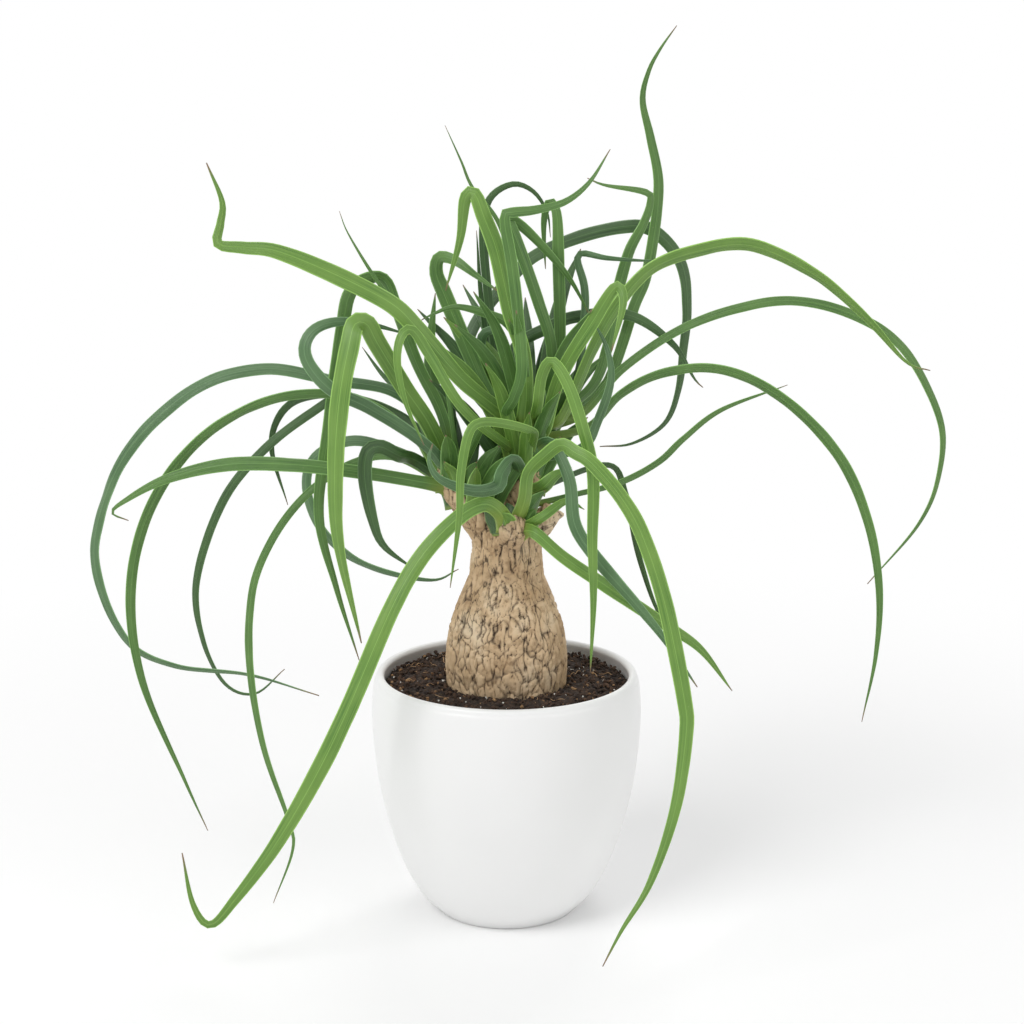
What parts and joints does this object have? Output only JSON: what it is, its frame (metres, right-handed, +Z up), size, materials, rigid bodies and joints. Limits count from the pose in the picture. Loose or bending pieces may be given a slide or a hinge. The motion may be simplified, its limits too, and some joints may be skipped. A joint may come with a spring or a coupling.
{
  "type": "potted ponytail palm",
  "caption": "Ponytail palm with a swollen corky trunk and long arching strap leaves, in a plain round tapered white pot.",
  "frame": {"origin": "centre of the pot's flat underside", "axes": "+Z up along the pot's axis, -Y towards the front of the plant"},
  "size_m": [0.4902, 0.217, 0.5024],
  "materials": {
    "glazed_white": "satin",
    "potting_soil": "rough",
    "corky_bark": "rough",
    "leaf_green": "satin"
  },
  "bodies": {
    "root": {"pot": "glazed_white", "soil": "potting_soil", "trunk": "corky_bark", "leaf_left_01": "leaf_green", "leaf_left_02": "leaf_green", "leaf_left_03": "leaf_green", "leaf_left_04": "leaf_green", "leaf_left_05": "leaf_green", "leaf_left_06": "leaf_green", "leaf_left_07": "leaf_green", "leaf_left_08": "leaf_green", "leaf_left_09": "leaf_green", "leaf_left_10": "leaf_green", "leaf_left_11": "leaf_green", "leaf_left_12": "leaf_green", "leaf_left_13": "leaf_green", "leaf_left_14": "leaf_green", "leaf_left_15": "leaf_green", "leaf_left_16": "leaf_green", "leaf_left_17": "leaf_green", "leaf_top_01": "leaf_green", "leaf_top_02": "leaf_green", "leaf_top_03": "leaf_green", "leaf_top_04": "leaf_green", "leaf_top_05": "leaf_green", "leaf_top_06": "leaf_green", "leaf_top_07": "leaf_green", "leaf_top_08": "leaf_green", "leaf_top_09": "leaf_green", "leaf_top_10": "leaf_green", "leaf_top_11": "leaf_green", "leaf_top_12": "leaf_green", "leaf_top_13": "leaf_green", "leaf_top_14": "leaf_green", "leaf_top_15": "leaf_green", "leaf_right_01": "leaf_green", "leaf_right_02": "leaf_green", "leaf_right_03": "leaf_green", "leaf_right_04": "leaf_green", "leaf_right_05": "leaf_green", "leaf_right_06": "leaf_green", "leaf_right_07": "leaf_green", "leaf_front_01": "leaf_green", "leaf_front_02": "leaf_green", "leaf_front_03": "leaf_green", "leaf_front_04": "leaf_green", "leaf_front_05": "leaf_green", "leaf_front_06": "leaf_green", "leaf_front_07": "leaf_green", "leaf_front_08": "leaf_green", "leaf_front_09": "leaf_green"}
  },
  "joints": []
}
